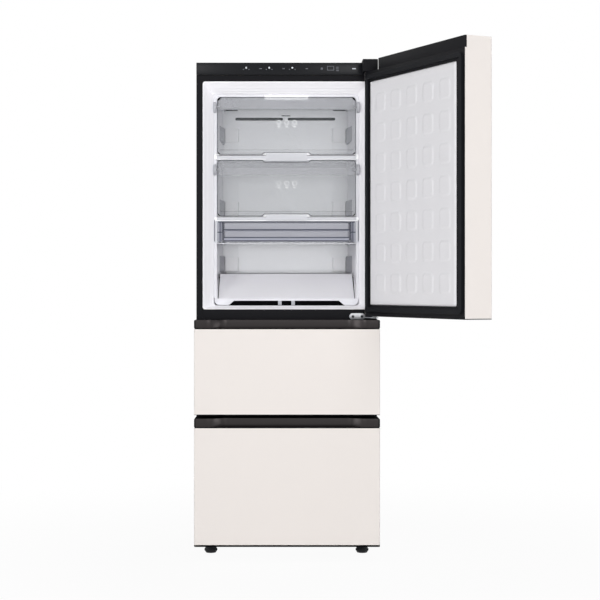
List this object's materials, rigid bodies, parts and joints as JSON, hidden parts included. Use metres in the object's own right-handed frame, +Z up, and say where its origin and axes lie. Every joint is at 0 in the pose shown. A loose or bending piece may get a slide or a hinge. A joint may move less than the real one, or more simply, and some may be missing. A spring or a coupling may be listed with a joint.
{
  "type": "kimchi refrigerator",
  "caption": "Tall kimchi refrigerator with an upper room behind a swing door that stands open, and two deep pull-out drawers below it.",
  "frame": {"origin": "On the floor, under the middle of the box round the whole part with its door open.", "axes": "+X runs to the right seen from the front, +Y runs from the front to the back, +Z is up; the front faces -Y."},
  "size_m": [0.9963, 1.2655, 1.8047],
  "materials": {
    "case_beige": "satin coated sheet",
    "frame_black": "fine grained black plastic",
    "panel_black": "gloss black touch panel",
    "grip_bronze": "dark bronze metallic plastic",
    "liner_white": "smooth white plastic",
    "foam": "rigid insulation foam",
    "core_black": "black plastic back of a drawer front",
    "steel": "plated steel",
    "coated_steel": "zinc coated sheet",
    "gasket": "soft black seal",
    "clear_plastic": "clear plastic",
    "smoke_plastic": "bluish clear plastic",
    "shelf_glass": "toughened glass",
    "lamp": "frosted lens",
    "copper": "copper tube",
    "fins": "thin fins",
    "dark_plastic": "dark grey plastic",
    "nylon": "black nylon",
    "compressor_black": "black painted steel"
  },
  "bodies": {
    "cabinet": {"outer_case": "case_beige", "back_panel": "coated_steel", "base_pan": "coated_steel", "front_frame": "frame_black", "control_panel": "panel_black", "cabinet_foam": "foam", "upper_liner": "liner_white", "middle_liner": "liner_white", "bottom_liner": "liner_white", "top_hinge_cover": "frame_black", "top_hinge": "steel", "lower_hinge": "steel", "rear_duct_cover": "liner_white", "ceiling_lamp": "lamp", "shelf_1_plate": "shelf_glass", "shelf_1_trim": "liner_white", "shelf_2_plate": "shelf_glass", "shelf_2_trim": "liner_white", "mini_drawer_housing": "liner_white", "floor_tray": "liner_white", "middle_left_rail": "steel", "middle_right_rail": "steel", "bottom_left_rail": "steel", "bottom_right_rail": "steel", "compressor": "compressor_black", "condenser": "fins", "drain_pan": "dark_plastic", "machine_cover": "coated_steel", "upper_evaporator": "fins", "lower_evaporator": "copper", "power_inlet": "nylon", "control_board_cover": "coated_steel"},
    "upper_door": {"door_skin": "case_beige", "door_foam": "foam", "door_liner": "liner_white", "door_frame": "frame_black", "door_gasket": "gasket", "door_top_cap": "frame_black", "door_bottom_cap": "frame_black"},
    "middle_drawer": {"middle_drawer_front": "case_beige", "middle_drawer_grip": "grip_bronze", "middle_drawer_core": "core_black", "middle_drawer_gasket": "gasket", "middle_drawer_carrier": "steel", "middle_drawer_bin": "clear_plastic"},
    "bottom_drawer": {"bottom_drawer_front": "case_beige", "bottom_drawer_grip": "grip_bronze", "bottom_drawer_core": "core_black", "bottom_drawer_gasket": "gasket", "bottom_drawer_carrier": "steel", "bottom_drawer_bin": "clear_plastic"},
    "upper_fan": {"upper_fan": "dark_plastic"},
    "condenser_fan": {"condenser_fan": "dark_plastic"},
    "front_left_foot": {"front_left_foot": "nylon"},
    "front_right_foot": {"front_right_foot": "nylon"},
    "rear_left_roller": {"rear_left_roller": "nylon"},
    "rear_right_roller": {"rear_right_roller": "nylon"},
    "upper_guard": {"upper_guard": "clear_plastic"},
    "lower_guard": {"lower_guard": "clear_plastic"},
    "mini_drawer_bin": {"mini_drawer_bin": "smoke_plastic"}
  },
  "joints": [
    {"name": "upper_door_hinge", "type": "hinge", "parent": "cabinet", "child": "upper_door", "pos_m": [0.152, -0.0315, 0.8735], "axis": [0, 0, 1], "range_deg": [-115.6, 4.4]},
    {"name": "middle_drawer_slide", "type": "slide", "parent": "cabinet", "child": "middle_drawer", "axis": [0, -1, 0], "range_m": [0, 0.38]},
    {"name": "bottom_drawer_slide", "type": "slide", "parent": "cabinet", "child": "bottom_drawer", "axis": [0, -1, 0], "range_m": [0, 0.38]},
    {"name": "upper_guard_hinge", "type": "hinge", "parent": "cabinet", "child": "upper_guard", "pos_m": [-0.166, 0.06175, 1.6415], "axis": [-1, 0, 0], "range_deg": [0, 80]},
    {"name": "lower_guard_hinge", "type": "hinge", "parent": "cabinet", "child": "lower_guard", "pos_m": [-0.166, 0.06175, 1.412], "axis": [-1, 0, 0], "range_deg": [0, 80]},
    {"name": "mini_drawer_slide", "type": "slide", "parent": "cabinet", "child": "mini_drawer_bin", "axis": [0, -1, 0], "range_m": [0, 0.22]},
    {"name": "upper_fan_spin", "type": "hinge", "parent": "cabinet", "child": "upper_fan", "pos_m": [-0.166, 0.539, 1.53], "axis": [0, 1, 0], "continuous": true},
    {"name": "condenser_fan_spin", "type": "hinge", "parent": "cabinet", "child": "condenser_fan", "pos_m": [-0.006, 0.546, 0.1603], "axis": [0, 1, 0], "continuous": true},
    {"name": "front_left_foot_turn", "type": "hinge", "parent": "cabinet", "child": "front_left_foot", "pos_m": [-0.445, 0.069, 0], "axis": [0, 0, 1], "continuous": true},
    {"name": "rear_left_roller_spin", "type": "hinge", "parent": "cabinet", "child": "rear_left_roller", "pos_m": [-0.434, 0.586, 0.02], "axis": [1, 0, 0], "continuous": true},
    {"name": "front_right_foot_turn", "type": "hinge", "parent": "cabinet", "child": "front_right_foot", "pos_m": [0.113, 0.069, 0], "axis": [0, 0, 1], "continuous": true},
    {"name": "rear_right_roller_spin", "type": "hinge", "parent": "cabinet", "child": "rear_right_roller", "pos_m": [0.102, 0.586, 0.02], "axis": [1, 0, 0], "continuous": true}
  ]
}
